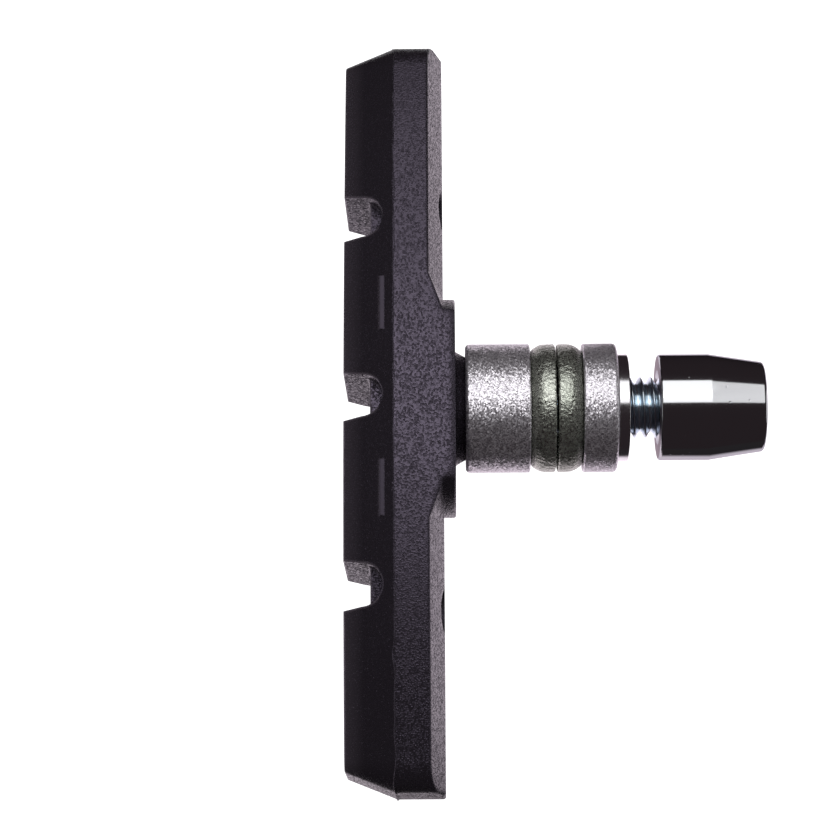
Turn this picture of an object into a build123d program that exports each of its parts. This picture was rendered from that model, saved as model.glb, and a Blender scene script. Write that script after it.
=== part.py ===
from build123d import *
from math import atan, cos, sin, sqrt
import os

# Bicycle rim brake pad with a threaded stud and its washers, in millimetres.
# The braking face lies on the XY plane, the stud runs up +Z, the pad's length is along X
# and its convex long edge faces -Y. The origin is on the stud's axis.

# Pad block, seen in plan
pad_length = 72.7
convex_reach = 6.9
concave_reach = 8.2
convex_radius = 150.0
concave_radius = 268.0
end_corner_radius = 3.2

# Pad block, seen from the side: tapered front, straight wall, and a back bevelled down to the convex flank
front_height = 4.75
front_inset = 1.9
face_edge_radius = 0.2
ridge_radius = 0.3
wall_height = 3.25
bevel_height = 1.35
bevel_width = 5.0
rim_radius = 0.25

# Round boss on the back, the cone that fills the bevel round it, and the collar that carries the washers
boss_radius = 10.4
boss_height = 1.15
boss_edge_radius = 0.25
run_out_radius = 13.4
collar_height = 0.95
collar_base_radius = 5.45
collar_top_radius = 4.9

# Wiper grooves: a round-bottomed groove at each flank, with a shallower floor between
groove_count = 3
groove_pitch = 17.7
groove_mouth_width = 4.6
groove_root_radius = 2.0
groove_depth = 3.7
bridge_depth = 2.5
bridge_inset = 0.35
bridge_fillet = 0.4

# Wear marks, raised on the convex flank
wear_mark_length = 5.3
wear_mark_height = 0.42
wear_mark_top = 3.85

# Mould pockets in the back, open down to the backing plate
pocket_spacing = 38.7
pocket_radius = 2.5
pocket_shift = 0.7

# Backing plate inside the rubber
plate_thickness = 1.6
plate_height = 6.0
plate_inset = 2.7
bond_hole_radius = 2.2
bond_hole_inner_place = 9.5
bond_hole_end_margin = 5.8

# Stud
stud_diameter = 5.86
stud_tip_chamfer = 0.6
stud_head_radius = 4.5
stud_head_thickness = 1.3

# Washers
washer_diameter = 12.25
washer_bore_clearance = 0.27
inner_cup_thickness = 6.1
outer_cup_thickness = 3.25
cup_edge_radius = 0.4
cup_lip_chamfer = 0.12
dome_sphere_radius = 9.0
dome_shoulder_radius = 1.9
dome_rim_height = 0.9
dome_bore_radius = 4.3
swivel_clearance = 0.05
dome_face_gap = 0.12
flat_washer_diameter = 10.2
flat_washer_thickness = 1.08
flat_washer_edge_radius = 0.12

# Barrel nut
nut_diameter = 10.1
nut_end_diameter = 8.5
nut_length = 10.05
nut_straight_length = 4.8
nut_rim_radius = 0.25
nut_end_radius = 0.35
nut_gap = 2.85
nut_thread_depth = 5.8
nut_thread_clearance = 0.05
nut_mouth_chamfer = 0.55
nut_tip_gap = 0.1
hex_across_flats = 5.0
hex_depth = 3.85
neck_radius = 2.3

# Heights above the braking face
wall_top = front_height + wall_height
back_height = wall_top + bevel_height
boss_top = back_height + boss_height
collar_top = boss_top + collar_height
plate_top = plate_height + plate_thickness
inner_cup_lip = collar_top + inner_cup_thickness

# Dome washer, from its flat face: the shoulder arc runs from the rim into the sphere, which bears in the cup
washer_radius = washer_diameter / 2
shoulder_offset = washer_radius - dome_shoulder_radius
shoulder_to_centre = sqrt((dome_sphere_radius - dome_shoulder_radius) ** 2 - shoulder_offset**2)
contact_share = dome_sphere_radius / (dome_sphere_radius - dome_shoulder_radius)
contact_radius = shoulder_offset * contact_share
contact_drop = shoulder_to_centre * contact_share
dome_lip_height = dome_rim_height + contact_drop - shoulder_to_centre
cup_sphere_radius = dome_sphere_radius + swivel_clearance
cup_mouth_radius = sqrt(cup_sphere_radius**2 - contact_drop**2)

# Stack of washers, with the nut standing off them and the stud ending inside the nut
inner_face = inner_cup_lip + dome_lip_height
outer_face = inner_face + dome_face_gap
outer_cup_lip = outer_face + dome_lip_height
outer_cup_back = outer_cup_lip + outer_cup_thickness
nut_foot = outer_cup_back + flat_washer_thickness + nut_gap
stud_tip = nut_foot + nut_thread_depth - nut_tip_gap
stud_radius = stud_diameter / 2
washer_bore_radius = stud_radius + washer_bore_clearance

os.makedirs("parts", exist_ok=True)

# Plan outline of the block at its widest, shared by the rubber and the plate
half_length = pad_length / 2
convex_centre = convex_radius - convex_reach
convex_end = convex_radius - sqrt(convex_radius**2 - half_length**2) - convex_reach
concave_end = concave_radius - sqrt(concave_radius**2 - half_length**2) + concave_reach

with BuildSketch() as pad_outline:
    with BuildLine():
        ThreePointArc((-half_length, convex_end), (0, -convex_reach), (half_length, convex_end))
        Line((half_length, convex_end), (half_length, concave_end))
        ThreePointArc((half_length, concave_end), (0, concave_reach), (-half_length, concave_end))
        Line((-half_length, concave_end), (-half_length, convex_end))
    make_face()
    fillet(pad_outline.vertices(), end_corner_radius)


def mid_line(place):
    """Y of the block's curved mid-line at a place along its length."""
    convex = convex_centre - sqrt(convex_radius**2 - place**2)
    concave = concave_reach + concave_radius - sqrt(concave_radius**2 - place**2)
    return (convex + concave) / 2


# Section of a wiper groove: drafted sides and a round root, with the depth up the page
root_centre = groove_depth - groove_root_radius
with BuildSketch() as groove_profile:
    with BuildLine():
        Polyline(
            (-groove_root_radius, root_centre),
            (-groove_mouth_width / 2, 0),
            (groove_mouth_width / 2, 0),
            (groove_root_radius, root_centre),
        )
        ThreePointArc(
            (groove_root_radius, root_centre), (0, groove_depth), (-groove_root_radius, root_centre)
        )
    make_face()

# Backing plate, with holes that the rubber fills and one for the stud
with BuildPart() as backing_plate:
    with BuildSketch(Plane.XY.offset(plate_height)):
        add(pad_outline.sketch)
        offset(amount=-plate_inset, kind=Kind.INTERSECTION, mode=Mode.REPLACE)
        bond_hole_places = (bond_hole_inner_place, half_length - plate_inset - bond_hole_end_margin)
        with Locations([(side * place, mid_line(place)) for place in bond_hole_places for side in (-1, 1)]):
            Circle(bond_hole_radius, mode=Mode.SUBTRACT)
        Circle(stud_radius, mode=Mode.SUBTRACT)
    extrude(amount=plate_thickness)
backing_plate.part.label = "backing_plate"

# Stud, turned, with its head under the plate
with BuildPart() as threaded_stud:
    with BuildSketch(Plane.XZ):
        with BuildLine():
            Polyline(
                (0, plate_height - stud_head_thickness),
                (stud_head_radius, plate_height - stud_head_thickness),
                (stud_head_radius, plate_height),
                (stud_radius, plate_height),
                (stud_radius, stud_tip - stud_tip_chamfer),
                (stud_radius - stud_tip_chamfer, stud_tip),
                (0, stud_tip),
                close=True,
            )
        make_face()
    revolve(axis=Axis.Z)
threaded_stud.part.label = "threaded_stud"

# Boss and its run-out cone, cut flush with the long walls
with BuildPart() as boss:
    with BuildSketch(Plane.XZ):
        with BuildLine():
            Polyline(
                (0, front_height),
                (run_out_radius, front_height),
                (run_out_radius, wall_top),
                (boss_radius, back_height),
                (boss_radius, boss_top),
                (0, boss_top),
                close=True,
            )
        make_face()
    revolve(axis=Axis.Z)
    fillet(boss.edges().filter_by(GeomType.CIRCLE).group_by(Axis.Z)[-1], boss_edge_radius)
    with BuildSketch():
        add(pad_outline.sketch)
    extrude(amount=boss_top, mode=Mode.INTERSECT)

# Rubber block, moulded round the plate and the stud's head
with BuildPart() as brake_block:
    # Tapered front and straight wall
    with BuildSketch():
        add(pad_outline.sketch)
        offset(amount=-front_inset, mode=Mode.REPLACE)
    with BuildSketch(Plane.XY.offset(front_height)):
        add(pad_outline.sketch)
    loft(ruled=True)
    with BuildSketch(Plane.XY.offset(front_height)):
        add(pad_outline.sketch)
    extrude(amount=back_height - front_height)

    # Bevel along the convex flank, turned about the centre of that flank's arc
    bevel_foot = convex_centre + convex_radius
    with BuildSketch(Plane.YZ):
        with BuildLine():
            Polyline(
                (bevel_foot - 2 * bevel_width, wall_top + 2 * bevel_height),
                (bevel_foot + bevel_width, wall_top - bevel_height),
                (bevel_foot + bevel_width, wall_top + 2 * bevel_height),
                close=True,
            )
        make_face()
    revolve(axis=Axis((0, convex_centre, 0), (0, 0, 1)), mode=Mode.SUBTRACT)
    add(boss.part)

    # Rounded mould edges, from the front to the back
    fillet(brake_block.faces().sort_by(Axis.Z)[0].edges(), face_edge_radius)
    fillet(brake_block.edges().filter_by_position(Axis.Z, front_height, front_height), ridge_radius)
    rim_edges = brake_block.edges().filter_by_position(Axis.Z, wall_top, back_height)
    fillet(rim_edges.filter_by(lambda edge: abs(edge.center().X) > half_length - ridge_radius), rim_radius)

    # Collar under the first washer
    with BuildSketch(Plane.XZ):
        with BuildLine():
            Polyline(
                (0, boss_top),
                (collar_base_radius, boss_top),
                (collar_top_radius, collar_top),
                (0, collar_top),
                close=True,
            )
        make_face()
    revolve(axis=Axis.Z)

    # Round-bottomed wiper grooves right across
    with BuildSketch(Plane.XZ):
        with GridLocations(groove_pitch, 0, groove_count, 1):
            add(groove_profile.sketch)
    extrude(amount=pad_length, both=True, mode=Mode.SUBTRACT)

    # Shallower floor between the two flanks
    with BuildSketch(Plane.XY.offset(bridge_depth)):
        add(pad_outline.sketch)
        offset(amount=-front_inset - bridge_inset, mode=Mode.REPLACE)
        with GridLocations(groove_pitch, 0, groove_count, 1):
            Rectangle(groove_mouth_width, pad_length, mode=Mode.INTERSECT)
    extrude(amount=groove_depth - bridge_depth + face_edge_radius)
    floors = brake_block.faces().filter_by(Axis.Z).group_by(Axis.Z)[1]
    fillet(floors.edges().filter_by(Axis.Y), bridge_fillet)

    # Wear marks, standing out of the taper as far as its surface reaches at their upper end
    mark_inset = front_inset * (1 - wear_mark_top / front_height)
    with BuildSketch(Plane.XY.offset(wear_mark_top - wear_mark_height)):
        add(pad_outline.sketch)
        offset(amount=-mark_inset, mode=Mode.REPLACE)
        with Locations((-groove_pitch / 2, -convex_reach), (groove_pitch / 2, -convex_reach)):
            Rectangle(wear_mark_length, convex_reach, mode=Mode.INTERSECT)
    extrude(amount=wear_mark_height)

    # Mould pockets
    with BuildSketch(Plane.XY.offset(plate_top)):
        with Locations((-pocket_spacing / 2, pocket_shift), (pocket_spacing / 2, pocket_shift)):
            Circle(pocket_radius)
    extrude(amount=back_height - plate_top, mode=Mode.SUBTRACT)

    add(backing_plate.part, mode=Mode.SUBTRACT)
    add(threaded_stud.part, mode=Mode.SUBTRACT)
brake_block.part.label = "brake_block"


def cup_washer(foot, lip):
    """Turn a cup washer with its flat side at foot and its spherical cup open at lip."""
    facing = 1 if lip > foot else -1
    centre = lip + facing * contact_drop
    bore_drop = sqrt(cup_sphere_radius**2 - washer_bore_radius**2)
    mid_radius = (cup_mouth_radius + washer_bore_radius) / 2
    mid_drop = sqrt(cup_sphere_radius**2 - mid_radius**2)
    with BuildPart() as cup:
        with BuildSketch(Plane.XZ):
            with BuildLine():
                Polyline(
                    (washer_bore_radius, centre - facing * bore_drop),
                    (washer_bore_radius, foot),
                    (washer_radius, foot),
                    (washer_radius, lip),
                    (cup_mouth_radius, lip),
                )
                ThreePointArc(
                    (cup_mouth_radius, lip),
                    (mid_radius, centre - facing * mid_drop),
                    (washer_bore_radius, centre - facing * bore_drop),
                )
            make_face()
        revolve(axis=Axis.Z)
        circles = cup.edges().filter_by(lambda edge: edge.is_closed)
        rims = circles.group_by(SortBy.RADIUS)[-1].sort_by(Axis.Z)
        flat_rim, lip_rim = (rims[0], rims[-1]) if facing > 0 else (rims[-1], rims[0])
        fillet(flat_rim, cup_edge_radius)
        chamfer(lip_rim, cup_lip_chamfer)
    return cup


def dome_washer(face, facing):
    """Turn a dome washer from its flat face, with its dome towards facing along Z."""
    centre = face + facing * (dome_rim_height - shoulder_to_centre)
    contact = face + facing * dome_lip_height
    shoulder_centre = face + facing * dome_rim_height
    half_turn = atan(contact_drop / contact_radius) / 2
    shoulder_mid = (
        shoulder_offset + dome_shoulder_radius * cos(half_turn),
        shoulder_centre + facing * dome_shoulder_radius * sin(half_turn),
    )
    bore_end = centre + facing * sqrt(dome_sphere_radius**2 - dome_bore_radius**2)
    mid_radius = (contact_radius + dome_bore_radius) / 2
    mid_height = centre + facing * sqrt(dome_sphere_radius**2 - mid_radius**2)
    with BuildPart() as dome:
        with BuildSketch(Plane.XZ):
            with BuildLine():
                Polyline(
                    (dome_bore_radius, bore_end),
                    (dome_bore_radius, face),
                    (washer_radius, face),
                    (washer_radius, shoulder_centre),
                )
                ThreePointArc(
                    (washer_radius, shoulder_centre), shoulder_mid, (contact_radius, contact)
                )
                ThreePointArc(
                    (contact_radius, contact), (mid_radius, mid_height), (dome_bore_radius, bore_end)
                )
            make_face()
        revolve(axis=Axis.Z)
    return dome


inner_cup_washer = cup_washer(collar_top, inner_cup_lip)
inner_cup_washer.part.label = "inner_cup_washer"

inner_dome_washer = dome_washer(inner_face, -1)
inner_dome_washer.part.label = "inner_dome_washer"

outer_dome_washer = dome_washer(outer_face, 1)
outer_dome_washer.part.label = "outer_dome_washer"

outer_cup_washer = cup_washer(outer_cup_back, outer_cup_lip)
outer_cup_washer.part.label = "outer_cup_washer"

# Plain washer under the nut
with BuildPart() as flat_washer:
    with BuildSketch(Plane.XY.offset(outer_cup_back)):
        Circle(flat_washer_diameter / 2)
        Circle(washer_bore_radius, mode=Mode.SUBTRACT)
    extrude(amount=flat_washer_thickness)
    fillet(
        flat_washer.edges().filter_by(GeomType.CIRCLE).group_by(SortBy.RADIUS)[-1], flat_washer_edge_radius
    )
flat_washer.part.label = "flat_washer"

# Barrel nut, turned and tapered, with a blind thread below and a hexagon socket in its end
nut_end = nut_foot + nut_length
thread_radius = stud_radius + nut_thread_clearance
with BuildPart() as barrel_nut:
    with BuildSketch(Plane.XZ):
        with BuildLine():
            Polyline(
                (0, nut_foot),
                (nut_diameter / 2, nut_foot),
                (nut_diameter / 2, nut_foot + nut_straight_length),
                (nut_end_diameter / 2, nut_end),
                (0, nut_end),
                close=True,
            )
        make_face()
    revolve(axis=Axis.Z)
    rims = barrel_nut.edges().filter_by(GeomType.CIRCLE).sort_by(Axis.Z)
    fillet(rims[0], nut_rim_radius)
    fillet(rims[-1], nut_end_radius)
    with BuildSketch(Plane.XY.offset(nut_foot)):
        Circle(thread_radius)
    extrude(amount=nut_thread_depth, mode=Mode.SUBTRACT)
    with BuildSketch(Plane.XY.offset(nut_foot)):
        Circle(neck_radius)
    extrude(amount=nut_length, mode=Mode.SUBTRACT)
    with BuildSketch(Plane.XY.offset(nut_end)):
        RegularPolygon(hex_across_flats / 2, 6, major_radius=False)
    extrude(amount=-hex_depth, mode=Mode.SUBTRACT)
    mouth = barrel_nut.edges().filter_by(GeomType.CIRCLE).group_by(Axis.Z)[0].sort_by(SortBy.RADIUS)[0]
    chamfer(mouth, nut_mouth_chamfer)
barrel_nut.part.label = "barrel_nut"

pieces = (
    brake_block,
    backing_plate,
    threaded_stud,
    inner_cup_washer,
    inner_dome_washer,
    outer_dome_washer,
    outer_cup_washer,
    flat_washer,
    barrel_nut,
)
for piece in pieces:
    export_step(piece.part, f"parts/{piece.part.label}.step")
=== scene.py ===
import math
import bmesh
import bpy
from bpy.props import FloatProperty, FloatVectorProperty, IntProperty, PointerProperty
from mathutils import Matrix, Vector, noise


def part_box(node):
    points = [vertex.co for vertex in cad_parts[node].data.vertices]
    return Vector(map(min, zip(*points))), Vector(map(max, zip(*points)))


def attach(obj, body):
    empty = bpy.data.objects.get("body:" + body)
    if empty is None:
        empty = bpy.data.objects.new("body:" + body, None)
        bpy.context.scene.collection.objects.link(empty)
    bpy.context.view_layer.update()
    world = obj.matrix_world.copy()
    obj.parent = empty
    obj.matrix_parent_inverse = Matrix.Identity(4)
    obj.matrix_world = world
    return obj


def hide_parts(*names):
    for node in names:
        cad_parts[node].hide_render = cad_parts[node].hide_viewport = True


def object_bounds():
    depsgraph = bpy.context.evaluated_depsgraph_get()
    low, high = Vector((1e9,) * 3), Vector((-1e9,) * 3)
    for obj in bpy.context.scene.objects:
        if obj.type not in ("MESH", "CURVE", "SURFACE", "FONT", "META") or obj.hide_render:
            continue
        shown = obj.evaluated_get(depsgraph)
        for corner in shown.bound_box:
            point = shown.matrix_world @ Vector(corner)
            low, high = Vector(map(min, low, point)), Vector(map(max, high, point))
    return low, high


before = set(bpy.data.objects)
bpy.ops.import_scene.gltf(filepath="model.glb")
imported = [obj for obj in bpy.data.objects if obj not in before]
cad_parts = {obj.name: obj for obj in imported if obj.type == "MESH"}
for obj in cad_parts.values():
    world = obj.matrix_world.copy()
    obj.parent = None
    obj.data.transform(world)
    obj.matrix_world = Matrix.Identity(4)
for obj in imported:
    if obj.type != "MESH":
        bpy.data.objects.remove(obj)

bl_info = {
    "name": "Rim brake pad",
    "version": (1, 1, 0),
    "blender": (4, 5, 0),
    "location": "View3D > Sidebar > Brake pad",
    "description": "Dresses the packed rim brake pad: rubber, washers, thread, nut and studio",
    "category": "Object",
}

CAD_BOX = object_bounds()
MM = 0.001
STUD_AXIS = Vector((0, 0, 1))


def linear(code):
    """Linear RGB of an sRGB hex colour such as "#2A272D"."""
    shares = [int(code[i : i + 2], 16) / 255 for i in (1, 3, 5)]
    return tuple(s / 12.92 if s <= 0.04045 else ((s + 0.055) / 1.055) ** 2.4 for s in shares)


def opaque(rgb):
    """Four-part colour of an RGB one."""
    return (*rgb, 1.0)


def add_node(tree, kind, sockets=None, **settings):
    """Add a shader node with its settings, and set or link its input sockets."""
    made = tree.nodes.new(kind)
    for name, value in settings.items():
        setattr(made, name, value)
    for socket, value in (sockets or {}).items():
        if isinstance(value, bpy.types.NodeSocket):
            tree.links.new(value, made.inputs[socket])
        else:
            made.inputs[socket].default_value = value
    return made


def blank_material(name):
    """A new material with only its output node, its node tree and that node."""
    material = bpy.data.materials.new(name)
    material.use_nodes = True
    material.node_tree.nodes.clear()
    return material, material.node_tree, add_node(material.node_tree, "ShaderNodeOutputMaterial")


# Sizes and colours


class PadSizes(bpy.types.PropertyGroup):
    """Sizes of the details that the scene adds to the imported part."""

    thread_diameter: FloatProperty(
        name="Thread diameter",
        description="Over the crests of the stud's thread",
        default=5.86 * MM,
        unit="LENGTH",
    )
    thread_pitch: FloatProperty(
        name="Thread pitch",
        description="Distance between neighbouring crests",
        default=1.0 * MM,
        unit="LENGTH",
    )
    thread_depth: FloatProperty(
        name="Thread depth",
        description="From crest to root of the rolled thread",
        default=0.6 * MM,
        unit="LENGTH",
    )
    thread_steps: IntProperty(
        name="Steps a turn",
        description="Points round one turn of the thread",
        default=72,
        min=24,
        subtype="UNSIGNED",
    )
    parting_height: FloatProperty(
        name="Parting height",
        description="From the braking face to the mould's parting line",
        default=4.75 * MM,
        unit="LENGTH",
    )
    flash_height: FloatProperty(
        name="Flash height",
        description="How far the flash stands out of the parting line",
        default=0.08 * MM,
        unit="LENGTH",
    )
    flash_width: FloatProperty(
        name="Flash width",
        description="Width of the flash at its foot",
        default=0.26 * MM,
        unit="LENGTH",
    )
    flash_step: FloatProperty(
        name="Flash step",
        description="Distance between points along the flash",
        default=0.2 * MM,
        unit="LENGTH",
    )
    rubber_grain: FloatProperty(
        name="Rubber grain",
        description="Spacing of the pits left by the spark-eroded mould",
        default=0.17 * MM,
        unit="LENGTH",
    )
    rubber_patch: FloatProperty(
        name="Rubber patches",
        description="Size of the duller patches of the rubber",
        default=7 * MM,
        unit="LENGTH",
    )
    mould_edge: FloatProperty(
        name="Mould edge",
        description="Radius of the rubber's edges that the mould leaves nearly sharp",
        default=0.2 * MM,
        unit="LENGTH",
    )
    boss_edge: FloatProperty(
        name="Boss edge",
        description="Radius of the edge round the top of the boss",
        default=1.2 * MM,
        unit="LENGTH",
    )
    # Painted highlight: width of the paler band along the rubber's edges, which also finds the groove walls'
    # edges
    edge_highlight_width: FloatProperty(
        name="Edge highlight width",
        description="Width of the pale rubbing along the rubber's edges",
        default=0.45 * MM,
        unit="LENGTH",
    )
    pale_band_height: FloatProperty(
        name="Pale band height",
        description="How far up from the braking face the rubber is paler",
        default=1.9 * MM,
        unit="LENGTH",
    )
    blast_grain: FloatProperty(
        name="Blasting grain",
        description="Width of the grains on the blasted cups and on the domes",
        default=0.115 * MM,
        unit="LENGTH",
    )
    dome_edge: FloatProperty(
        name="Dome edge",
        description="Length over which the domes' tumbled edges turn",
        default=0.4 * MM,
        unit="LENGTH",
    )
    dome_step: FloatProperty(
        name="Dome step",
        description="Distance between points of the domes' section",
        default=0.1 * MM,
        unit="LENGTH",
    )
    dome_ripple: FloatProperty(
        name="Dome ripple",
        description="Width of the dents left in the domes by tumbling",
        default=0.3 * MM,
        unit="LENGTH",
    )
    dome_dent: FloatProperty(
        name="Dome dent",
        description="Depth of the dents left in the domes by tumbling",
        default=0.065 * MM,
        unit="LENGTH",
    )


class PadColours(bpy.types.PropertyGroup):
    """Colours of the pad's finishes."""

    rubber: FloatVectorProperty(
        name="Rubber",
        description="Moulded block",
        default=linear("#1A171B"),
        subtype="COLOR",
        min=0,
        max=1,
    )
    # Paler band towards the braking face, and the colour of the painted highlight along the front's edges
    # and on the wear marks
    rubber_pale_and_highlight: FloatVectorProperty(
        name="Rubber pale and highlight",
        description="Pale rubbing on edges",
        default=linear("#544D54"),
        subtype="COLOR",
        min=0,
        max=1,
    )
    insert: FloatVectorProperty(
        name="Insert",
        description="Steel plate in the rubber",
        default=linear("#77777A"),
        subtype="COLOR",
        min=0,
        max=1,
    )
    cup: FloatVectorProperty(
        name="Cup washers",
        description="Brightest grains of the blasting",
        default=linear("#FAF6FC"),
        subtype="COLOR",
        min=0,
        max=1,
    )
    cup_dull: FloatVectorProperty(
        name="Cup washers, dull",
        description="Dullest grains of the blasting",
        default=linear("#BBB7BE"),
        subtype="COLOR",
        min=0,
        max=1,
    )
    dome: FloatVectorProperty(
        name="Dome washers",
        description="Olive passivation",
        default=linear("#C6C8C0"),
        subtype="COLOR",
        min=0,
        max=1,
    )
    dome_stain: FloatVectorProperty(
        name="Dome stain",
        description="Greener patches of the passivation",
        default=linear("#8E9488"),
        subtype="COLOR",
        min=0,
        max=1,
    )
    zinc: FloatVectorProperty(
        name="Thread",
        description="Blue-white zinc",
        default=linear("#CFDCE6"),
        subtype="COLOR",
        min=0,
        max=1,
    )
    washer: FloatVectorProperty(
        name="Flat washer",
        description="Bright plating",
        default=linear("#D2D1D4"),
        subtype="COLOR",
        min=0,
        max=1,
    )
    chrome: FloatVectorProperty(
        name="Nut",
        description="Chromium plating",
        default=linear("#C6C7CA"),
        subtype="COLOR",
        min=0,
        max=1,
    )
    faced_end: FloatVectorProperty(
        name="Nut foot",
        description="Dull plating on the faced foot of the nut",
        default=linear("#A9999F"),
        subtype="COLOR",
        min=0,
        max=1,
    )


class StudioSizes(bpy.types.PropertyGroup):
    """Camera, lamps and surroundings."""

    camera_turn: FloatProperty(
        name="Camera turn",
        description="Turn of the view about the stud",
        default=math.radians(13.28),
        subtype="ANGLE",
    )
    camera_lean: FloatProperty(
        name="Camera lean",
        description="Lean of the view towards the nut",
        default=math.radians(0.7),
        subtype="ANGLE",
    )
    camera_roll: FloatProperty(
        name="Camera roll",
        description="Roll of the picture",
        default=math.radians(-0.41),
        subtype="ANGLE",
    )
    camera_distance: FloatProperty(
        name="Camera distance",
        description="From the lens to the stud's axis",
        default=245 * MM,
        unit="LENGTH",
    )
    lens: FloatProperty(
        name="Lens",
        description="Focal length on a 36 mm sensor",
        default=110.74,
        subtype="DISTANCE_CAMERA",
    )
    aim: FloatVectorProperty(
        name="Aim",
        description="Point in the middle of the picture",
        default=(0.871 * MM, 0, 6.926 * MM),
        unit="LENGTH",
    )
    floor_drop: FloatProperty(
        name="Floor drop",
        description="From the stud's axis down to the white floor",
        default=45 * MM,
        unit="LENGTH",
    )
    lamp_distance: FloatProperty(
        name="Lamp distance",
        description="From the stud's axis to the softboxes",
        default=0.5,
        unit="LENGTH",
    )
    key_turn: FloatProperty(
        name="Key turn",
        description="Turn of the key from square to the flank",
        default=math.radians(-14),
        subtype="ANGLE",
    )
    key_power: FloatProperty(
        name="Key power",
        description="Bright middle of the softbox",
        default=0.2,
        unit="POWER",
    )
    wide_turn: FloatProperty(
        name="Wide turn",
        description="Turn of the wide softbox from square to the flank",
        default=math.radians(-21.5),
        subtype="ANGLE",
    )
    wide_power: FloatProperty(
        name="Wide power",
        description="Large softbox",
        default=1.15,
        unit="POWER",
    )
    edge_power: FloatProperty(
        name="Edge power",
        description="Dim strip past the nut",
        default=0.15,
        unit="POWER",
    )
    fill: FloatProperty(
        name="Fill",
        description="Even light from all round",
        default=0.45,
        min=0,
        max=1,
    )


class PadScene(bpy.types.PropertyGroup):
    """All that the panel shows."""

    sizes: PointerProperty(type=PadSizes)
    colours: PointerProperty(type=PadColours)
    studio: PointerProperty(type=StudioSizes)


# Rubber


def rubber_zones(tree, sizes, spot, normal):
    """Sockets that tell the rubber's zones apart, by where a point lies and which way its surface faces."""
    # Where the zones begin and end: by place, then by how square or how flat the surface is
    front_fade = 0.4 * MM
    flank_place = CAD_BOX[0].y
    groove_end_from, groove_end_to = flank_place + 1.5 * MM, flank_place + 1.7 * MM
    pad_end = CAD_BOX[1].x
    wall_from, wall_to = pad_end - 4.85 * MM, pad_end - 5.85 * MM
    square_from, square_to = 0.95, 0.99
    lengthwise_from, lengthwise_to = 0.8, 0.95
    flat_from, flat_to = 0.9, 0.99

    flank = add_node(
        tree, "ShaderNodeMath", {0: normal.outputs["Y"]}, operation="ABSOLUTE"
    ).outputs["Value"]
    front = add_node(
        tree, "ShaderNodeMapRange",
        {"Value": spot.outputs["Z"], "From Min": sizes.parting_height,
         "From Max": sizes.parting_height - front_fade},
    ).outputs["Result"]

    # Faces in front of the parting line that are square to the flank: the raised wear marks, and deeper in,
    # the round ends of the wiper grooves
    square = add_node(
        tree, "ShaderNodeMapRange",
        {"Value": flank, "From Min": square_from, "From Max": square_to, "To Max": front},
    ).outputs["Result"]
    groove_end = add_node(
        tree, "ShaderNodeMapRange",
        {"Value": spot.outputs["Y"], "From Min": groove_end_from, "From Max": groove_end_to,
         "To Max": square},
    ).outputs["Result"]
    wear_mark = add_node(
        tree, "ShaderNodeMath", {0: square, 1: groove_end}, operation="SUBTRACT"
    ).outputs["Value"]

    # How far the surface turns within the width of the painted edge highlight: 1 where it is flat
    around = add_node(tree, "ShaderNodeBevel", {"Radius": sizes.edge_highlight_width}, samples=6)
    facing = add_node(tree, "ShaderNodeNewGeometry").outputs["Normal"]
    turned = add_node(
        tree, "ShaderNodeVectorMath", {0: around.outputs["Normal"], 1: facing}, operation="DOT_PRODUCT"
    ).outputs["Value"]

    # The wiper grooves' walls between their edges: square to the pad's length and away from its ends
    lengthwise = add_node(tree, "ShaderNodeMath", {0: normal.outputs["X"]}, operation="ABSOLUTE")
    wall = add_node(
        tree, "ShaderNodeMapRange",
        {"Value": lengthwise.outputs["Value"], "From Min": lengthwise_from, "From Max": lengthwise_to,
         "To Max": front},
    )
    from_middle = add_node(tree, "ShaderNodeMath", {0: spot.outputs["X"]}, operation="ABSOLUTE")
    inner_wall = add_node(
        tree, "ShaderNodeMapRange",
        {"Value": from_middle.outputs["Value"], "From Min": wall_from, "From Max": wall_to,
         "To Max": wall.outputs["Result"]},
    )
    groove_wall = add_node(
        tree, "ShaderNodeMapRange",
        {"Value": turned, "From Min": flat_from, "From Max": flat_to,
         "To Max": inner_wall.outputs["Result"]},
    ).outputs["Result"]
    return {
        "flank": flank,
        "groove_end": groove_end,
        "wear_mark": wear_mark,
        "groove_wall": groove_wall,
        "turned": turned,
    }


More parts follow.
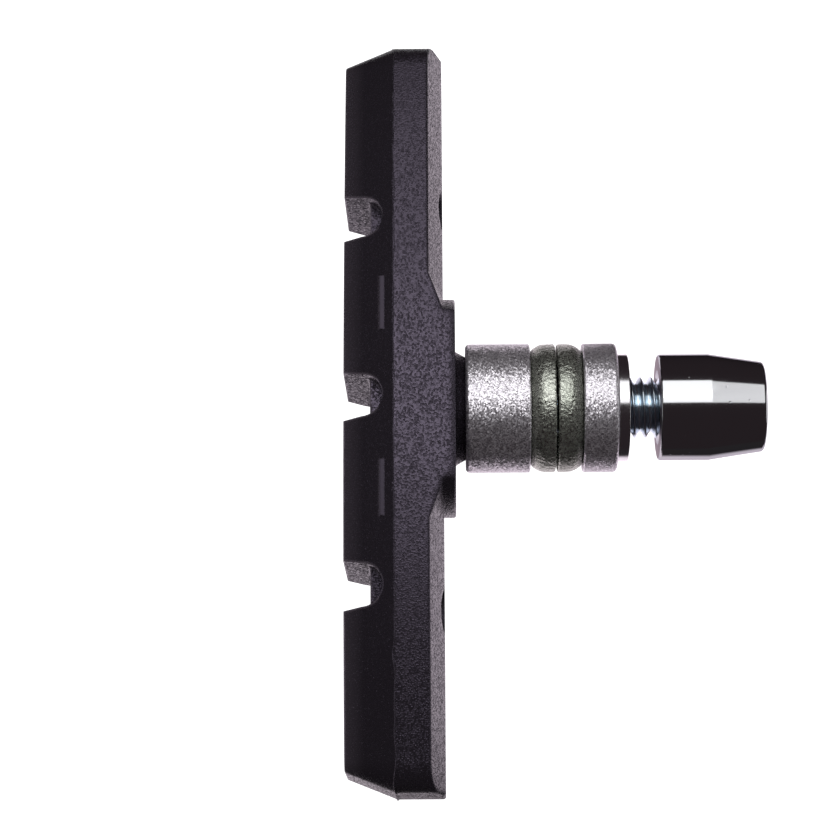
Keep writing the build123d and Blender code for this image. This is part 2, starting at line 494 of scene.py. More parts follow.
def rubber_pits(tree, sizes, place, height, zones):
    """Pits of uneven depth, one to a cell, shallow on the flanks, and the cells' random shares."""
    # The real pits are too fine to show, so the rubber's grain is drawn coarser than it is
    cells = add_node(tree, "ShaderNodeTexVoronoi", {"Vector": place, "Scale": 1 / sizes.rubber_grain})
    chance = add_node(tree, "ShaderNodeSeparateColor", {"Color": cells.outputs["Color"]}).outputs["Red"]

    # The flank's grain begins along a wandering border a little behind the parting line
    border_wave, border_shift = 1.5 * MM, 0.8 * MM
    border_from, border_to = sizes.parting_height + 0.3 * MM, sizes.parting_height + 0.5 * MM
    wander = add_node(tree, "ShaderNodeTexNoise", {"Vector": place, "Scale": 1 / border_wave, "Detail": 2.0})
    border = add_node(
        tree, "ShaderNodeMath", {0: wander.outputs["Fac"], 1: border_shift, 2: height},
        operation="MULTIPLY_ADD",
    )

    # Depth of the deepest pits, as a share of the full one, and where the flanks' depth gives way
    taper_depth, groove_end_depth, flank_wall_depth = 0.2, 1.3, 1.0
    other_faces_depth, groove_wall_depth = 1.35, 1.2
    flank_limit, other_faces_limit = 0.75, 0.5
    front_depth = add_node(
        tree, "ShaderNodeMapRange",
        {"Value": zones["groove_end"], "To Min": taper_depth, "To Max": groove_end_depth},
    )
    flank_depth = add_node(
        tree, "ShaderNodeMapRange",
        {"Value": border.outputs["Value"], "From Min": border_from, "From Max": border_to,
         "To Min": front_depth.outputs["Result"], "To Max": flank_wall_depth},
    )
    other_depth = add_node(
        tree, "ShaderNodeMapRange",
        {"Value": zones["groove_wall"], "To Min": other_faces_depth, "To Max": groove_wall_depth},
    )
    deepest = add_node(
        tree, "ShaderNodeMapRange",
        {"Value": zones["flank"], "From Min": flank_limit, "From Max": other_faces_limit,
         "To Min": flank_depth.outputs["Result"], "To Max": other_depth.outputs["Result"]},
    )
    deep = add_node(tree, "ShaderNodeMapRange", {"Value": chance, "To Max": deepest.outputs["Result"]})

    # Shape of a pit, in cells from its middle
    pit_rim, pit_floor = 0.74, 0.32
    pit = add_node(
        tree, "ShaderNodeMapRange",
        {"Value": cells.outputs["Distance"], "From Min": pit_rim, "From Max": pit_floor,
         "To Max": deep.outputs["Result"]},
        interpolation_type="SMOOTHSTEP",
    ).outputs["Result"]
    return pit, chance


def rubber_roughness(tree, sizes, place, pit, chance, zones):
    """Roughness of the rubber: glossy in soft patches, dull in pits, on groove walls and on wear marks."""
    glossiest, dullest, scuffed_rough, pit_rough = 0.21, 0.28, 0.55, 0.6
    grit = 1.9
    patches = add_node(
        tree, "ShaderNodeTexNoise", {"Vector": place, "Scale": 1 / sizes.rubber_patch, "Detail": 3.0}
    )
    polish = add_node(
        tree, "ShaderNodeMapRange", {"Value": patches.outputs["Fac"], "To Min": glossiest, "To Max": dullest}
    )
    gritty = add_node(tree, "ShaderNodeMath", {0: zones["groove_wall"], 1: chance}, operation="MULTIPLY")
    scuffed = add_node(
        tree, "ShaderNodeMath", {0: gritty.outputs["Value"], 1: grit, 2: zones["wear_mark"]},
        operation="MULTIPLY_ADD",
    )
    smooth = add_node(
        tree, "ShaderNodeMapRange",
        {"Value": scuffed.outputs["Value"], "To Min": polish.outputs["Result"], "To Max": scuffed_rough},
        clamp=False,
    )
    in_pits = add_node(
        tree, "ShaderNodeMath", {0: smooth.outputs["Result"], 1: pit_rough}, operation="MAXIMUM"
    )
    return add_node(
        tree, "ShaderNodeMapRange",
        {"Value": pit, "To Min": smooth.outputs["Result"], "To Max": in_pits.outputs["Value"]},
    ).outputs["Result"]


def rubber_tint(tree, sizes, colours, height, zones):
    """Colour of the rubber: a painted highlight along the front's edges and on the wear marks, and a thin
    paler band towards the braking face.
    """
    edge_highlight_from, edge_highlight_to = 3.4 * MM, 3.3 * MM
    pale_band_foot, pale_band_share, wear_mark_highlight_share = 0.3 * MM, 0.2, 0.12
    flat_limit, edge_limit = 0.99, 0.85
    # Heights below which the front's edges get the painted highlight
    edge_highlight_zone = add_node(
        tree, "ShaderNodeMapRange", {"Value": height, "From Min": edge_highlight_from, "From Max": edge_highlight_to}
    )
    # Paler towards the braking face
    pale_band = add_node(
        tree, "ShaderNodeMapRange",
        {"Value": height, "From Min": sizes.pale_band_height, "From Max": pale_band_foot, "To Max": pale_band_share},
    )
    # Painted highlight where the surface turns at an edge, the paler band elsewhere
    pale_band_and_edge_highlight = add_node(
        tree, "ShaderNodeMapRange",
        {"Value": zones["turned"], "From Min": flat_limit, "From Max": edge_limit,
         "To Min": pale_band.outputs["Result"], "To Max": edge_highlight_zone.outputs["Result"]},
    )
    # The wear marks get a share of painted highlight on top
    paler = add_node(
        tree, "ShaderNodeMath", {0: zones["wear_mark"], 1: wear_mark_highlight_share, 2: pale_band_and_edge_highlight.outputs["Result"]},
        operation="MULTIPLY_ADD",
    )
    return add_node(
        tree, "ShaderNodeMix",
        {"Factor": paler.outputs["Value"], "A": opaque(colours.rubber), "B": opaque(colours.rubber_pale_and_highlight)},
        data_type="RGBA",
    ).outputs["Result"]


def spark_eroded_rubber(sizes, colours):
    """Carbon-filled rubber from a spark-eroded mould: near black, evenly pitted, with a painted highlight
    along its edges and paler towards the braking face.
    """
    material, tree, output = blank_material("rubber_spark_eroded_mould")
    coords = add_node(tree, "ShaderNodeTexCoord")
    place = coords.outputs["Object"]
    spot = add_node(tree, "ShaderNodeSeparateXYZ", {"Vector": place})
    normal = add_node(tree, "ShaderNodeSeparateXYZ", {"Vector": coords.outputs["Normal"]})
    height = spot.outputs["Z"]
    zones = rubber_zones(tree, sizes, spot, normal)
    pit, chance = rubber_pits(tree, sizes, place, height, zones)

    # Edges that the mould leaves a little round, and rounder towards the top of the boss
    collar_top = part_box("brake_block")[1].z
    boss_edge_from, boss_edge_to = collar_top - 3.8 * MM, collar_top - 1.6 * MM
    edge = add_node(
        tree, "ShaderNodeMapRange",
        {"Value": height, "From Min": boss_edge_from, "From Max": boss_edge_to,
         "To Min": sizes.mould_edge, "To Max": sizes.boss_edge},
    )
    rounded = add_node(tree, "ShaderNodeBevel", {"Radius": edge.outputs["Result"]}, samples=6)
    pit_depth = 0.03 * MM
    bump = add_node(
        tree, "ShaderNodeBump",
        {"Strength": 1.0, "Distance": pit_depth, "Height": pit, "Normal": rounded.outputs["Normal"]},
        invert=True,
    )
    shader = add_node(
        tree, "ShaderNodeBsdfPrincipled",
        {"Base Color": rubber_tint(tree, sizes, colours, height, zones),
         "Roughness": rubber_roughness(tree, sizes, place, pit, chance, zones), "IOR": 1.6,
         "Specular Tint": opaque(linear("#EFDFFF")), "Normal": bump.outputs["Normal"]},
    )
    tree.links.new(shader.outputs["BSDF"], output.inputs["Surface"])
    return material


# Metals


def patchy_metal(name, colour, patch, detail, smoothest, roughest):
    """A metal of one colour whose polish changes over patches of a given width."""
    material, tree, output = blank_material(name)
    place = add_node(tree, "ShaderNodeTexCoord").outputs["Object"]
    patches = add_node(tree, "ShaderNodeTexNoise", {"Vector": place, "Scale": 1 / patch, "Detail": detail})
    rough = add_node(
        tree, "ShaderNodeMapRange",
        {"Value": patches.outputs["Fac"], "To Min": smoothest, "To Max": roughest},
    )
    shader = add_node(
        tree, "ShaderNodeBsdfPrincipled",
        {"Base Color": opaque(colour), "Metallic": 1.0, "Roughness": rough.outputs["Result"]},
    )
    tree.links.new(shader.outputs["BSDF"], output.inputs["Surface"])
    return material


def pressed_steel(colours):
    """Mild steel sheet, pressed and degreased: dull grey, seen only at the bottom of the mould pockets."""
    return patchy_metal(
        "steel_pressed_sheet", colours.insert, patch=0.4 * MM, detail=3.0, smoothest=0.35, roughest=0.6
    )


def blue_zinc_steel(colours):
    """Rolled steel thread with blue-white zinc: bright, a little uneven, cold in tone."""
    return patchy_metal(
        "steel_blue_zinc", colours.zinc, patch=0.5 * MM, detail=3.0, smoothest=0.12, roughest=0.3
    )


def bright_plated_steel(colours):
    """Stamped washer, tumbled and bright plated: a soft mirror with fine wear."""
    return patchy_metal(
        "steel_bright_plated", colours.washer, patch=0.6 * MM, detail=4.0, smoothest=0.1, roughest=0.24
    )


def blasted_steel(sizes, colours):
    """Steel, bead-blasted and plated: satin silver whose small facets break the highlight into sparks."""
    material, tree, output = blank_material("steel_bead_blasted")
    place = add_node(tree, "ShaderNodeTexCoord").outputs["Object"]
    # The real grains are too fine to show, so they are drawn coarser than they are
    grains = add_node(tree, "ShaderNodeTexVoronoi", {"Vector": place, "Scale": 1 / sizes.blast_grain})
    chance = add_node(tree, "ShaderNodeSeparateColor", {"Color": grains.outputs["Color"]}).outputs["Blue"]
    tint = add_node(
        tree, "ShaderNodeMix", {"Factor": chance, "A": opaque(colours.cup_dull), "B": opaque(colours.cup)},
        data_type="RGBA",
    )

    # Each grain is a small facet that leans its own way, by up to a fifth of its width along each axis
    middle, lean_span = (0.5, 0.5, 0.5), (0.42, 0.42, 0.42)
    lean = add_node(
        tree, "ShaderNodeVectorMath", {0: grains.outputs["Color"], 1: middle}, operation="SUBTRACT"
    )
    facing = add_node(tree, "ShaderNodeNewGeometry").outputs["Normal"]
    leaning = add_node(
        tree, "ShaderNodeVectorMath", {0: lean.outputs["Vector"], 1: lean_span, 2: facing},
        operation="MULTIPLY_ADD",
    )
    facet = add_node(tree, "ShaderNodeVectorMath", {0: leaning.outputs["Vector"]}, operation="NORMALIZE")

    # The brighter grains are smoother, under a thin pale film
    rough = add_node(tree, "ShaderNodeMapRange", {"Value": chance, "To Min": 0.46, "To Max": 0.34})
    bare = add_node(tree, "ShaderNodeMapRange", {"Value": chance, "To Min": 1.0, "To Max": 0.87})
    shader = add_node(
        tree, "ShaderNodeBsdfPrincipled",
        {"Base Color": tint.outputs["Result"], "Metallic": bare.outputs["Result"],
         "Roughness": rough.outputs["Result"], "Normal": facet.outputs["Vector"]},
    )
    tree.links.new(shader.outputs["BSDF"], output.inputs["Surface"])
    return material


def olive_passivated_steel(sizes, colours):
    """Tumbled steel with an olive passivation: dark and oily, greener in patches, crinkled and grainy."""
    material, tree, output = blank_material("steel_olive_passivated")
    place = add_node(tree, "ShaderNodeTexCoord").outputs["Object"]
    stain_width = 1.8 * MM
    stains = add_node(tree, "ShaderNodeTexNoise", {"Vector": place, "Scale": 1 / stain_width, "Detail": 3.0})
    tint = add_node(
        tree, "ShaderNodeMix",
        {"Factor": stains.outputs["Fac"], "A": opaque(colours.dome), "B": opaque(colours.dome_stain)},
        data_type="RGBA",
    )

    # The real film's crinkle and grain are too fine to show, so both are drawn coarser than they are
    crinkle_width, crinkle_depth, grain_depth = 0.2 * MM, 0.065 * MM, 0.012 * MM
    crinkle = add_node(
        tree, "ShaderNodeTexNoise", {"Vector": place, "Scale": 1 / crinkle_width, "Detail": 2.0}
    )
    crinkled = add_node(
        tree, "ShaderNodeBump",
        {"Strength": 1.0, "Distance": crinkle_depth, "Height": crinkle.outputs["Fac"]},
    )
    grains = add_node(tree, "ShaderNodeTexVoronoi", {"Vector": place, "Scale": 1 / sizes.blast_grain})
    grainy = add_node(
        tree, "ShaderNodeBump",
        {"Strength": 1.0, "Distance": grain_depth, "Height": grains.outputs["Distance"],
         "Normal": crinkled.outputs["Normal"]},
    )

    # The rougher grains lie under more of the film
    chance = add_node(tree, "ShaderNodeSeparateColor", {"Color": grains.outputs["Color"]}).outputs["Red"]
    rough = add_node(tree, "ShaderNodeMapRange", {"Value": chance, "To Min": 0.17, "To Max": 0.46})
    bare = add_node(tree, "ShaderNodeMapRange", {"Value": chance, "To Min": 1.0, "To Max": 0.86})
    shader = add_node(
        tree, "ShaderNodeBsdfPrincipled",
        {"Base Color": tint.outputs["Result"], "Metallic": bare.outputs["Result"],
         "Roughness": rough.outputs["Result"], "Normal": grainy.outputs["Normal"]},
    )
    tree.links.new(shader.outputs["BSDF"], output.inputs["Surface"])
    return material


def chromed_steel(colours):
    """Turned and chromed steel: a clear mirror with pinholes, greyer at a slant, with a dull foot."""
    material, tree, output = blank_material("steel_chrome_plated")
    coords = add_node(tree, "ShaderNodeTexCoord")

    # The real pinholes are too fine to show, so they are drawn wider than they are
    pit_spacing, pit_depth, pit_floor, pit_rim = 0.8 * MM, 0.012 * MM, 0.02, 0.14
    pits = add_node(
        tree, "ShaderNodeTexVoronoi", {"Vector": coords.outputs["Object"], "Scale": 1 / pit_spacing}
    )
    hollow = add_node(
        tree, "ShaderNodeMapRange",
        {"Value": pits.outputs["Distance"], "From Min": pit_floor, "From Max": pit_rim},
    )
    bump = add_node(
        tree, "ShaderNodeBump", {"Strength": 1.0, "Distance": pit_depth, "Height": hollow.outputs["Result"]}
    )

    # The foot is the face that looks back along the stud
    foot_from, foot_to = -0.93, -0.99
    along = add_node(tree, "ShaderNodeSeparateXYZ", {"Vector": coords.outputs["Normal"]}).outputs["Z"]
    faced = add_node(
        tree, "ShaderNodeMapRange", {"Value": along, "From Min": foot_from, "From Max": foot_to}
    )
    tint = add_node(
        tree, "ShaderNodeMix",
        {"Factor": faced.outputs["Result"], "A": opaque(colours.chrome), "B": opaque(colours.faced_end)},
        data_type="RGBA",
    )
    rough = add_node(
        tree, "ShaderNodeMapRange", {"Value": faced.outputs["Result"], "To Min": 0.1, "To Max": 0.4}
    )
    shader = add_node(
        tree, "ShaderNodeBsdfPrincipled",
        {"Base Color": tint.outputs["Result"], "Metallic": 1.0, "Roughness": rough.outputs["Result"],
         "Specular Tint": opaque(linear("#BEBEC2")), "Normal": bump.outputs["Normal"]},
    )
    tree.links.new(shader.outputs["BSDF"], output.inputs["Surface"])
    return material


# Shapes


def dress(name, material):
    """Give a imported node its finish."""
    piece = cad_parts[name]
    piece.data.materials.clear()
    piece.data.materials.append(material)


def new_piece(name, points, faces, material, body):
    """A smooth-shaded mesh piece that rides on a body of the part."""
    mesh = bpy.data.meshes.new(name)
    mesh.from_pydata(points, [], faces)
    mesh.validate()
    mesh.materials.append(material)
    mesh.shade_smooth()
    piece = bpy.data.objects.new(name, mesh)
    bpy.context.scene.collection.objects.link(piece)
    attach(piece, body)
    return piece


def tube_faces(rings, steps, closed):
    """Quads between neighbouring rings of points; a closed tube joins its last ring to its first."""
    count = rings if closed else rings - 1
    return [
        (
            ring * steps + step,
            ring * steps + (step + 1) % steps,
            (ring + 1) % rings * steps + (step + 1) % steps,
            (ring + 1) % rings * steps + step,
        )
        for ring in range(count)
        for step in range(steps)
    ]


def cut_loop(name, place, facing):
    """Points of the loop that a plane cuts from a node's outside, from the one furthest along X."""
    weld = 0.001 * MM
    slicing = bmesh.new()
    slicing.from_mesh(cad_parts[name].data)
    bmesh.ops.remove_doubles(slicing, verts=slicing.verts[:], dist=weld)
    parts = slicing.verts[:] + slicing.edges[:] + slicing.faces[:]
    cut = bmesh.ops.bisect_plane(slicing, geom=parts, plane_co=place, plane_no=facing)["geom_cut"]
    steps = {}
    for edge in cut:
        if isinstance(edge, bmesh.types.BMEdge):
            first, second = edge.verts
            steps.setdefault(first, []).append(second)
            steps.setdefault(second, []).append(first)
    here = max(steps, key=lambda corner: corner.co.x)
    loop = [here]
    while True:
        ahead = [corner for corner in steps[here] if corner not in loop[-2:] and corner is not loop[0]]
        if not ahead:
            break
        here = ahead[0]
        loop.append(here)
    points = [corner.co.copy() for corner in loop]
    slicing.free()
    return points


def even_loop(points, step):
    """The same closed loop with points an even step apart."""
    ends = points[1:] + points[:1]
    lengths = [(end - start).length for start, end in zip(points, ends)]
    count = round(sum(lengths) / step)
    gap = sum(lengths) / count
    placed, passed, wanted = [], 0.0, 0.0
    for start, end, length in zip(points, ends, lengths):
        while wanted < passed + length and len(placed) < count:
            placed.append(start.lerp(end, (wanted - passed) / length))
            wanted += gap
        passed += length
    return placed


def flash_points(sizes):
    """Rings of the flash round the parting line: a low uneven bead, taller towards one end of the pad."""
    coarse_wave, fine_wave, drift_wave = 1.1 * MM, 0.4 * MM, 2.3 * MM
    drift = 0.8 * sizes.flash_width
    fine_share, height_change, width_change = 0.5, 0.8, 0.5
    even_share, end_share, least_height, least_width = 0.45, 0.9, 0.25, 0.4
    half_length = CAD_BOX[1].x
    # Shares of the flash's height and half width; the first and last points lie inside the rubber
    section = ((-1.5, -1.0), (0.55, -0.55), (1.0, 0.0), (0.55, 0.55), (-1.5, 1.0))
    parting_line = cut_loop("brake_block", (0, 0, sizes.parting_height), (0, 0, 1))
    path = even_loop(parting_line, sizes.flash_step)
    points = []
    for index, spot in enumerate(path):
        along = (path[(index + 1) % len(path)] - path[index - 1]).normalized()
        out = along.cross(STUD_AXIS)
        if out.dot(spot) < 0:
            out.negate()
        ragged = noise.noise(spot / coarse_wave) + fine_share * noise.noise(spot / fine_wave)
        swell = even_share + end_share * max(spot.x / half_length, 0.0) ** 3
        tall = sizes.flash_height * max(swell + height_change * ragged, least_height)
        wide = sizes.flash_width / 2 * max(swell + width_change * ragged, least_width)
        shift = drift * noise.noise(spot / drift_wave)
        for share_out, share_up in section:
            points.append(spot + out * (tall * share_out) + Vector((0, 0, shift + wide * share_up)))
    return points, len(path), len(section)


def tumbled_dome_points(name, sizes):
    """Rings of a dome washer turned from its packed section, with rounded edges and shallow dents."""
    section = even_loop(cut_loop(name, (0, 0, 0), (0, 1, 0)), sizes.dome_step)
    count = len(section)
    reach = round(sizes.dome_edge / sizes.dome_step / 2)
    near = range(-reach, reach + 1)
    profile = [sum((section[(i + k) % count] for k in near), Vector()) / len(near) for i in range(count)]
    middle = sum(profile, Vector()) / count
    steps = round(2 * math.pi * section[0].x / sizes.dome_step)
    points = []
    for index, spot in enumerate(profile):
        along = (profile[(index + 1) % count] - profile[index - 1]).normalized()
        out = along.cross(Vector((0, 1, 0)))
        if out.dot(spot - middle) < 0:
            out.negate()
        for step in range(steps):
            turned = Matrix.Rotation(2 * math.pi * step / steps, 3, "Z")
            place = turned @ spot
            dent = 0.5 + 0.5 * noise.noise(place / sizes.dome_ripple)
            points.append(place - turned @ out * (sizes.dome_dent * dent))
    return points, count, steps


def thread_radius(share, crest, depth):
    """Radius of a rolled thread at a share of its pitch: flat crest, straight flanks, flat root."""
    crest_end, root_start = 0.12, 0.80
    from_crest = abs(share - 0.5) * 2
    fall = min(max((from_crest - crest_end) / (root_start - crest_end), 0.0), 1.0)
    return crest - depth * fall


def threaded_stud_points(sizes):
    """Rings of the stud from its head to its tip, with the thread as a helix of changing radius."""
    levels_a_pitch = 16
    hub_share = 0.02
    lowest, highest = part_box("threaded_stud")
    plate_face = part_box("backing_plate")[0].z
    head_radius = highest.x
    crest = sizes.thread_diameter / 2
    steps = sizes.thread_steps
    tip_start = highest.z - sizes.thread_depth
    head_rings = [(lowest.z, hub_share), (lowest.z, 1.0), (plate_face, 1.0)]
    points = []
    for height, share in head_rings:
        for step in range(steps):
            turn = 2 * math.pi * step / steps
            radius = head_radius * share
            points.append((radius * math.cos(turn), radius * math.sin(turn), height))
    levels = int((highest.z - plate_face) / sizes.thread_pitch * levels_a_pitch)
    for level in range(levels + 1):
        height = plate_face + (highest.z - plate_face) * level / levels
        for step in range(steps):
            turn = 2 * math.pi * step / steps
            share = (height / sizes.thread_pitch - step / steps) % 1
            radius = thread_radius(share, crest, sizes.thread_depth)
            radius = min(radius, crest - max(0.0, height - tip_start))
            points.append((radius * math.cos(turn), radius * math.sin(turn), height))
    return points, len(head_rings) + levels + 1


# Operators for the pieces


class PAD_OT_rubber_block(bpy.types.Operator):
    """Finish the rubber block, its flash and the steel plate in it"""

    bl_idname = "pad.rubber_block"
    bl_label = "Rubber block"

    def execute(self, context):
        pad = context.scene.brake_pad
        rubber = spark_eroded_rubber(pad.sizes, pad.colours)
        dress("brake_block", rubber)
        points, rings, steps = flash_points(pad.sizes)
        faces = tube_faces(rings, steps, True)
        new_piece("parting_line_flash", points, faces, rubber, "pad")
        dress("backing_plate", pressed_steel(pad.colours))
        return {"FINISHED"}


class PAD_OT_thread(bpy.types.Operator):
    """Make the stud with its rolled thread"""

    bl_idname = "pad.thread"
    bl_label = "Threaded stud"

    def execute(self, context):
        pad = context.scene.brake_pad
        steps = pad.sizes.thread_steps
        points, rings = threaded_stud_points(pad.sizes)
        faces = tube_faces(rings, steps, False)
        faces.append(tuple(reversed(range(steps))))
        faces.append(tuple(range((rings - 1) * steps, rings * steps)))
        zinc = blue_zinc_steel(pad.colours)
        stud = new_piece("rolled_thread_stud", points, faces, zinc, "pad")
        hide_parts("threaded_stud")
        return {"FINISHED"}


class PAD_OT_washers(bpy.types.Operator):
    """Finish the cup, dome and flat washers"""

    bl_idname = "pad.washers"
    bl_label = "Washers"

    def execute(self, context):
        pad = context.scene.brake_pad
        blasted = blasted_steel(pad.sizes, pad.colours)
        olive = olive_passivated_steel(pad.sizes, pad.colours)
        for name in ("inner_cup_washer", "outer_cup_washer"):
            dress(name, blasted)
        for side in ("inner", "outer"):
            node = side + "_dome_washer"
            body = side + "_dome"
            points, rings, steps = tumbled_dome_points(node, pad.sizes)
            faces = tube_faces(rings, steps, True)
            dome = new_piece(side + "_tumbled_dome", points, faces, olive, body)
            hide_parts(node)
        dress("flat_washer", bright_plated_steel(pad.colours))
        return {"FINISHED"}


class PAD_OT_nut(bpy.types.Operator):
    """Finish the barrel nut"""

    bl_idname = "pad.nut"
    bl_label = "Barrel nut"

    def execute(self, context):
        dress("barrel_nut", chromed_steel(context.scene.brake_pad.colours))
        return {"FINISHED"}


# Studio


def white_floor_paper():
    """White paper under the pad: white to the eye, with a soft shadow; metal sees a painted glow on it that
    falls into painted shade.
    """
    material, tree, output = blank_material("paper_white_floor")
    camera_glow = 0.75
    path = add_node(tree, "ShaderNodeLightPath")
    glow = add_node(
        tree, "ShaderNodeMath", {0: path.outputs["Is Camera Ray"], 1: camera_glow}, operation="MULTIPLY"
    )
    light = add_node(tree, "ShaderNodeEmission", {"Strength": glow.outputs["Value"]})
    paper = add_node(tree, "ShaderNodeBsdfDiffuse", {"Color": opaque(linear("#E7E7E7"))})
    lit = add_node(tree, "ShaderNodeAddShader", {0: light.outputs["Emission"], 1: paper.outputs["BSDF"]})

    # Painted reflection of the paper for metal and gloss: a glow, bright beside the pad, painted darker
    # further off, down and past the nut
    shade_way = (1.0, 0.0, 0.3)
    shade_from, shade_to, brightest, darkest = 34 * MM, 56 * MM, 1.28, 0.03
    mirrored = add_node(
        tree, "ShaderNodeMath", {0: path.outputs["Is Glossy Ray"], 1: path.outputs["Is Transmission Ray"]},
        operation="MAXIMUM",
    )
    place = add_node(tree, "ShaderNodeTexCoord").outputs["Object"]
    away = add_node(tree, "ShaderNodeVectorMath", {0: place, 1: shade_way}, operation="DOT_PRODUCT")
    shade = add_node(
        tree, "ShaderNodeMapRange",
        {"Value": away.outputs["Value"], "From Min": shade_from, "From Max": shade_to, "To Min": brightest,
         "To Max": darkest},
        interpolation_type="SMOOTHSTEP",
    )
    falling = add_node(
        tree, "ShaderNodeEmission",
        {"Color": opaque(linear("#FFF2FC")), "Strength": shade.outputs["Result"]},
    )
    front = add_node(
        tree, "ShaderNodeMixShader",
        {0: mirrored.outputs["Value"], 1: lit.outputs["Shader"], 2: falling.outputs["Emission"]},
    )

    # The paper's back is clear, so that views from behind see the pad
    clear = add_node(tree, "ShaderNodeBsdfTransparent")
    side = add_node(tree, "ShaderNodeNewGeometry").outputs["Backfacing"]
    sheet = add_node(
        tree, "ShaderNodeMixShader", {0: side, 1: front.outputs["Shader"], 2: clear.outputs["BSDF"]}
    )
    tree.links.new(sheet.outputs["Shader"], output.inputs["Surface"])
    return material


def black_velvet():
    """Black velvet hung round the camera's side: the dark room that polished metal reflects, as a faint
    painted glow.
    """
    material, tree, output = blank_material("velvet_black")
    # A faint painted glow stands in for the dim light of the dark room
    painted_glow = add_node(tree, "ShaderNodeEmission", {"Color": opaque(linear("#2F282B")), "Strength": 1.0})
    tree.links.new(painted_glow.outputs["Emission"], output.inputs["Surface"])
    return material


def stage_sheet(name, points, faces, material):
    """A sheet of the studio, which is no part of the object."""
    mesh = bpy.data.meshes.new(name)
    mesh.from_pydata(points, [], faces)
    mesh.materials.append(material)
    sheet = bpy.data.objects.new(name, mesh)
    bpy.context.scene.collection.objects.link(sheet)
    return sheet


def lay_floor(drop, aim):
    """Lay the white paper, a little way above the pad and further below it and along the stud."""
    top, bottom, left, right = -1.43 * drop, 2.3 * drop, aim.z - 0.3, aim.z + 0.45
    corners = [(top, drop, left), (bottom, drop, left), (bottom, drop, right), (top, drop, right)]
    stage_sheet("floor", corners, [(0, 1, 2, 3)], white_floor_paper())


def hang_velvet():
    """Hang the curtain round the camera's side and the card behind the nut, for gloss and metal alone."""
    velvet = black_velvet()
    curtain_radius, half_turn, half_height, steps = 0.9, math.radians(125), 2.2, 48
    points, faces = [], []
    for step in range(steps + 1):
        turn = -half_turn + 2 * half_turn * step / steps
        for end in (-half_height, half_height):
            points.append((curtain_radius * math.sin(turn), -curtain_radius * math.cos(turn), end))
    for step in range(steps):
        faces.append((2 * step, 2 * step + 2, 2 * step + 3, 2 * step + 1))
    curtain = stage_sheet("dark_curtain", points, faces, velvet)

    # The card stands above the picture's middle and darkens the nut's upper edge
    near, far, foot, head, depth = -16 * MM, -90 * MM, 25 * MM, 60 * MM, 12 * MM
    corners = [(near, depth, foot), (far, depth, foot), (far, depth, head), (near, depth, head)]
    card = stage_sheet("black_card", corners, [(0, 1, 2, 3)], velvet)
    for sheet in (curtain, card):
        sheet.visible_camera = False
        sheet.visible_diffuse = False
        sheet.visible_shadow = False


def area_lamp(name, place, target, width, height, power):
    """A rectangular softbox at a place, facing a target; its height runs along the stud."""
    data = bpy.data.lights.new(name, "AREA")
    data.shape = "RECTANGLE"
    data.size = width
    data.size_y = height
    data.energy = power
    lamp = bpy.data.objects.new(name, data)
    away = (place - target).normalized()
    across = STUD_AXIS.cross(away).normalized()
    turned = Matrix((across, away.cross(across), away)).transposed().to_4x4()
    lamp.matrix_world = Matrix.Translation(place) @ turned
    bpy.context.scene.collection.objects.link(lamp)


def set_softboxes(studio, aim):
    """Set up the key, the wide softbox round it and the dim strip past the nut."""
    key_width, key_height, wide_side, strip_height = 0.12, 0.3, 0.46, 0.09
    strip_shift = Vector((0, 0, 0.28))
    key_way = Vector((math.sin(studio.key_turn), -math.cos(studio.key_turn), 0))
    wide_way = Vector((math.sin(studio.wide_turn), -math.cos(studio.wide_turn), 0))
    key_place = aim + studio.lamp_distance * key_way
    wide_place = aim + studio.lamp_distance * wide_way
    strip_place = wide_place + strip_shift
    area_lamp("key_softbox", key_place, aim, key_width, key_height, studio.key_power)
    area_lamp("wide_softbox", wide_place, aim, wide_side, wide_side, studio.wide_power)
    area_lamp("edge_softbox", strip_place, aim + strip_shift, wide_side, strip_height, studio.edge_power)


def white_surround(fill):
    """A world that the camera, metal and glass see as white, and that lights the pad with an even fill."""
    world = bpy.data.worlds.new("studio_surround")
    world.use_nodes = True
    tree = world.node_tree
    tree.nodes.clear()
    path = add_node(tree, "ShaderNodeLightPath")
    direct = add_node(
        tree, "ShaderNodeMath", {0: path.outputs["Is Camera Ray"], 1: path.outputs["Is Glossy Ray"]},
        operation="MAXIMUM",
    )
    seen = add_node(
        tree, "ShaderNodeMath", {0: direct.outputs["Value"], 1: path.outputs["Is Transmission Ray"]},
        operation="MAXIMUM",
    )
    level = add_node(
        tree, "ShaderNodeMapRange", {"Value": seen.outputs["Value"], "To Min": fill, "To Max": 1.0}
    )
    surround = add_node(
        tree, "ShaderNodeBackground",
        {"Color": opaque(linear("#FFFFFF")), "Strength": level.outputs["Result"]},
    )
    sky = add_node(tree, "ShaderNodeOutputWorld")
    tree.links.new(surround.outputs["Background"], sky.inputs["Surface"])
    return world


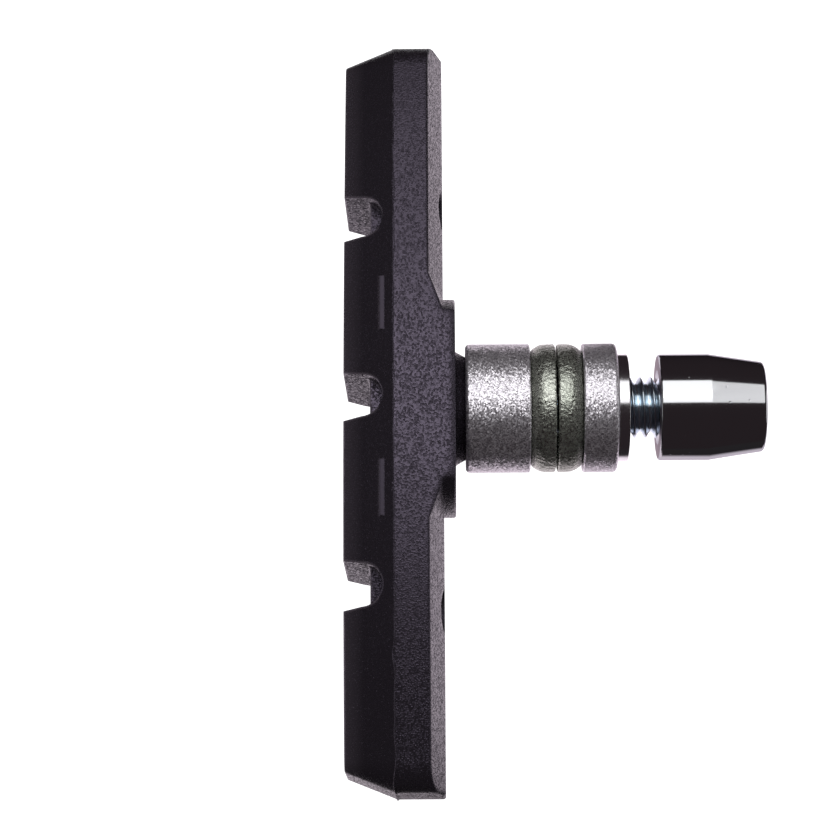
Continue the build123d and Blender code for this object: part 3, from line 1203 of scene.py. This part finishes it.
def photo_camera(studio, aim):
    """A camera that looks at the convex flank, with the stud across the picture."""
    turn, lean, roll = studio.camera_turn, studio.camera_lean, studio.camera_roll
    back = Vector((math.sin(turn) * math.cos(lean), -math.cos(turn) * math.cos(lean), math.sin(lean)))
    level = (STUD_AXIS - back * STUD_AXIS.dot(back)).normalized()
    upright = back.cross(level)
    right = level * math.cos(roll) + upright * math.sin(roll)
    up = upright * math.cos(roll) - level * math.sin(roll)
    data = bpy.data.cameras.new("photo_camera")
    data.lens = studio.lens
    data.sensor_width = 36.0
    data.clip_start = 0.01
    camera = bpy.data.objects.new("photo_camera", data)
    turned = Matrix((right, up, back)).transposed().to_4x4()
    camera.matrix_world = Matrix.Translation(aim + back * studio.camera_distance) @ turned
    bpy.context.scene.collection.objects.link(camera)
    return camera


class PAD_OT_studio(bpy.types.Operator):
    """Set up the floor, the dark curtain, the lamps, the world and the camera"""

    bl_idname = "pad.studio"
    bl_label = "Studio"

    def execute(self, context):
        scene = context.scene
        studio = scene.brake_pad.studio
        aim = Vector(studio.aim)
        scene.view_settings.view_transform = "Standard"
        lay_floor(studio.floor_drop, aim)
        hang_velvet()
        set_softboxes(studio, aim)
        scene.world = white_surround(studio.fill)
        scene.camera = photo_camera(studio, aim)
        return {"FINISHED"}


# Panel and registration


class PAD_PT_panel(bpy.types.Panel):
    """Sidebar panel of the brake pad"""

    bl_idname = "PAD_PT_panel"
    bl_label = "Brake pad"
    bl_space_type = "VIEW_3D"
    bl_region_type = "UI"
    bl_category = "Brake pad"

    def draw(self, context):
        pad = context.scene.brake_pad
        for group in (pad.sizes, pad.colours, pad.studio):
            box = self.layout.box()
            for name in group.__annotations__:
                box.prop(group, name)
        for operator in OPERATORS:
            self.layout.operator(operator.bl_idname)


OPERATORS = (PAD_OT_rubber_block, PAD_OT_thread, PAD_OT_washers, PAD_OT_nut, PAD_OT_studio)
CLASSES = (PadSizes, PadColours, StudioSizes, PadScene, *OPERATORS, PAD_PT_panel)


def register():
    for item in CLASSES:
        bpy.utils.register_class(item)
    bpy.types.Scene.brake_pad = PointerProperty(type=PadScene)


def unregister():
    del bpy.types.Scene.brake_pad
    for item in reversed(CLASSES):
        bpy.utils.unregister_class(item)


def main():
    register()
    bpy.ops.pad.rubber_block()
    bpy.ops.pad.thread()
    bpy.ops.pad.washers()
    bpy.ops.pad.nut()
    bpy.ops.pad.studio()


if __name__ == "__main__":
    main()
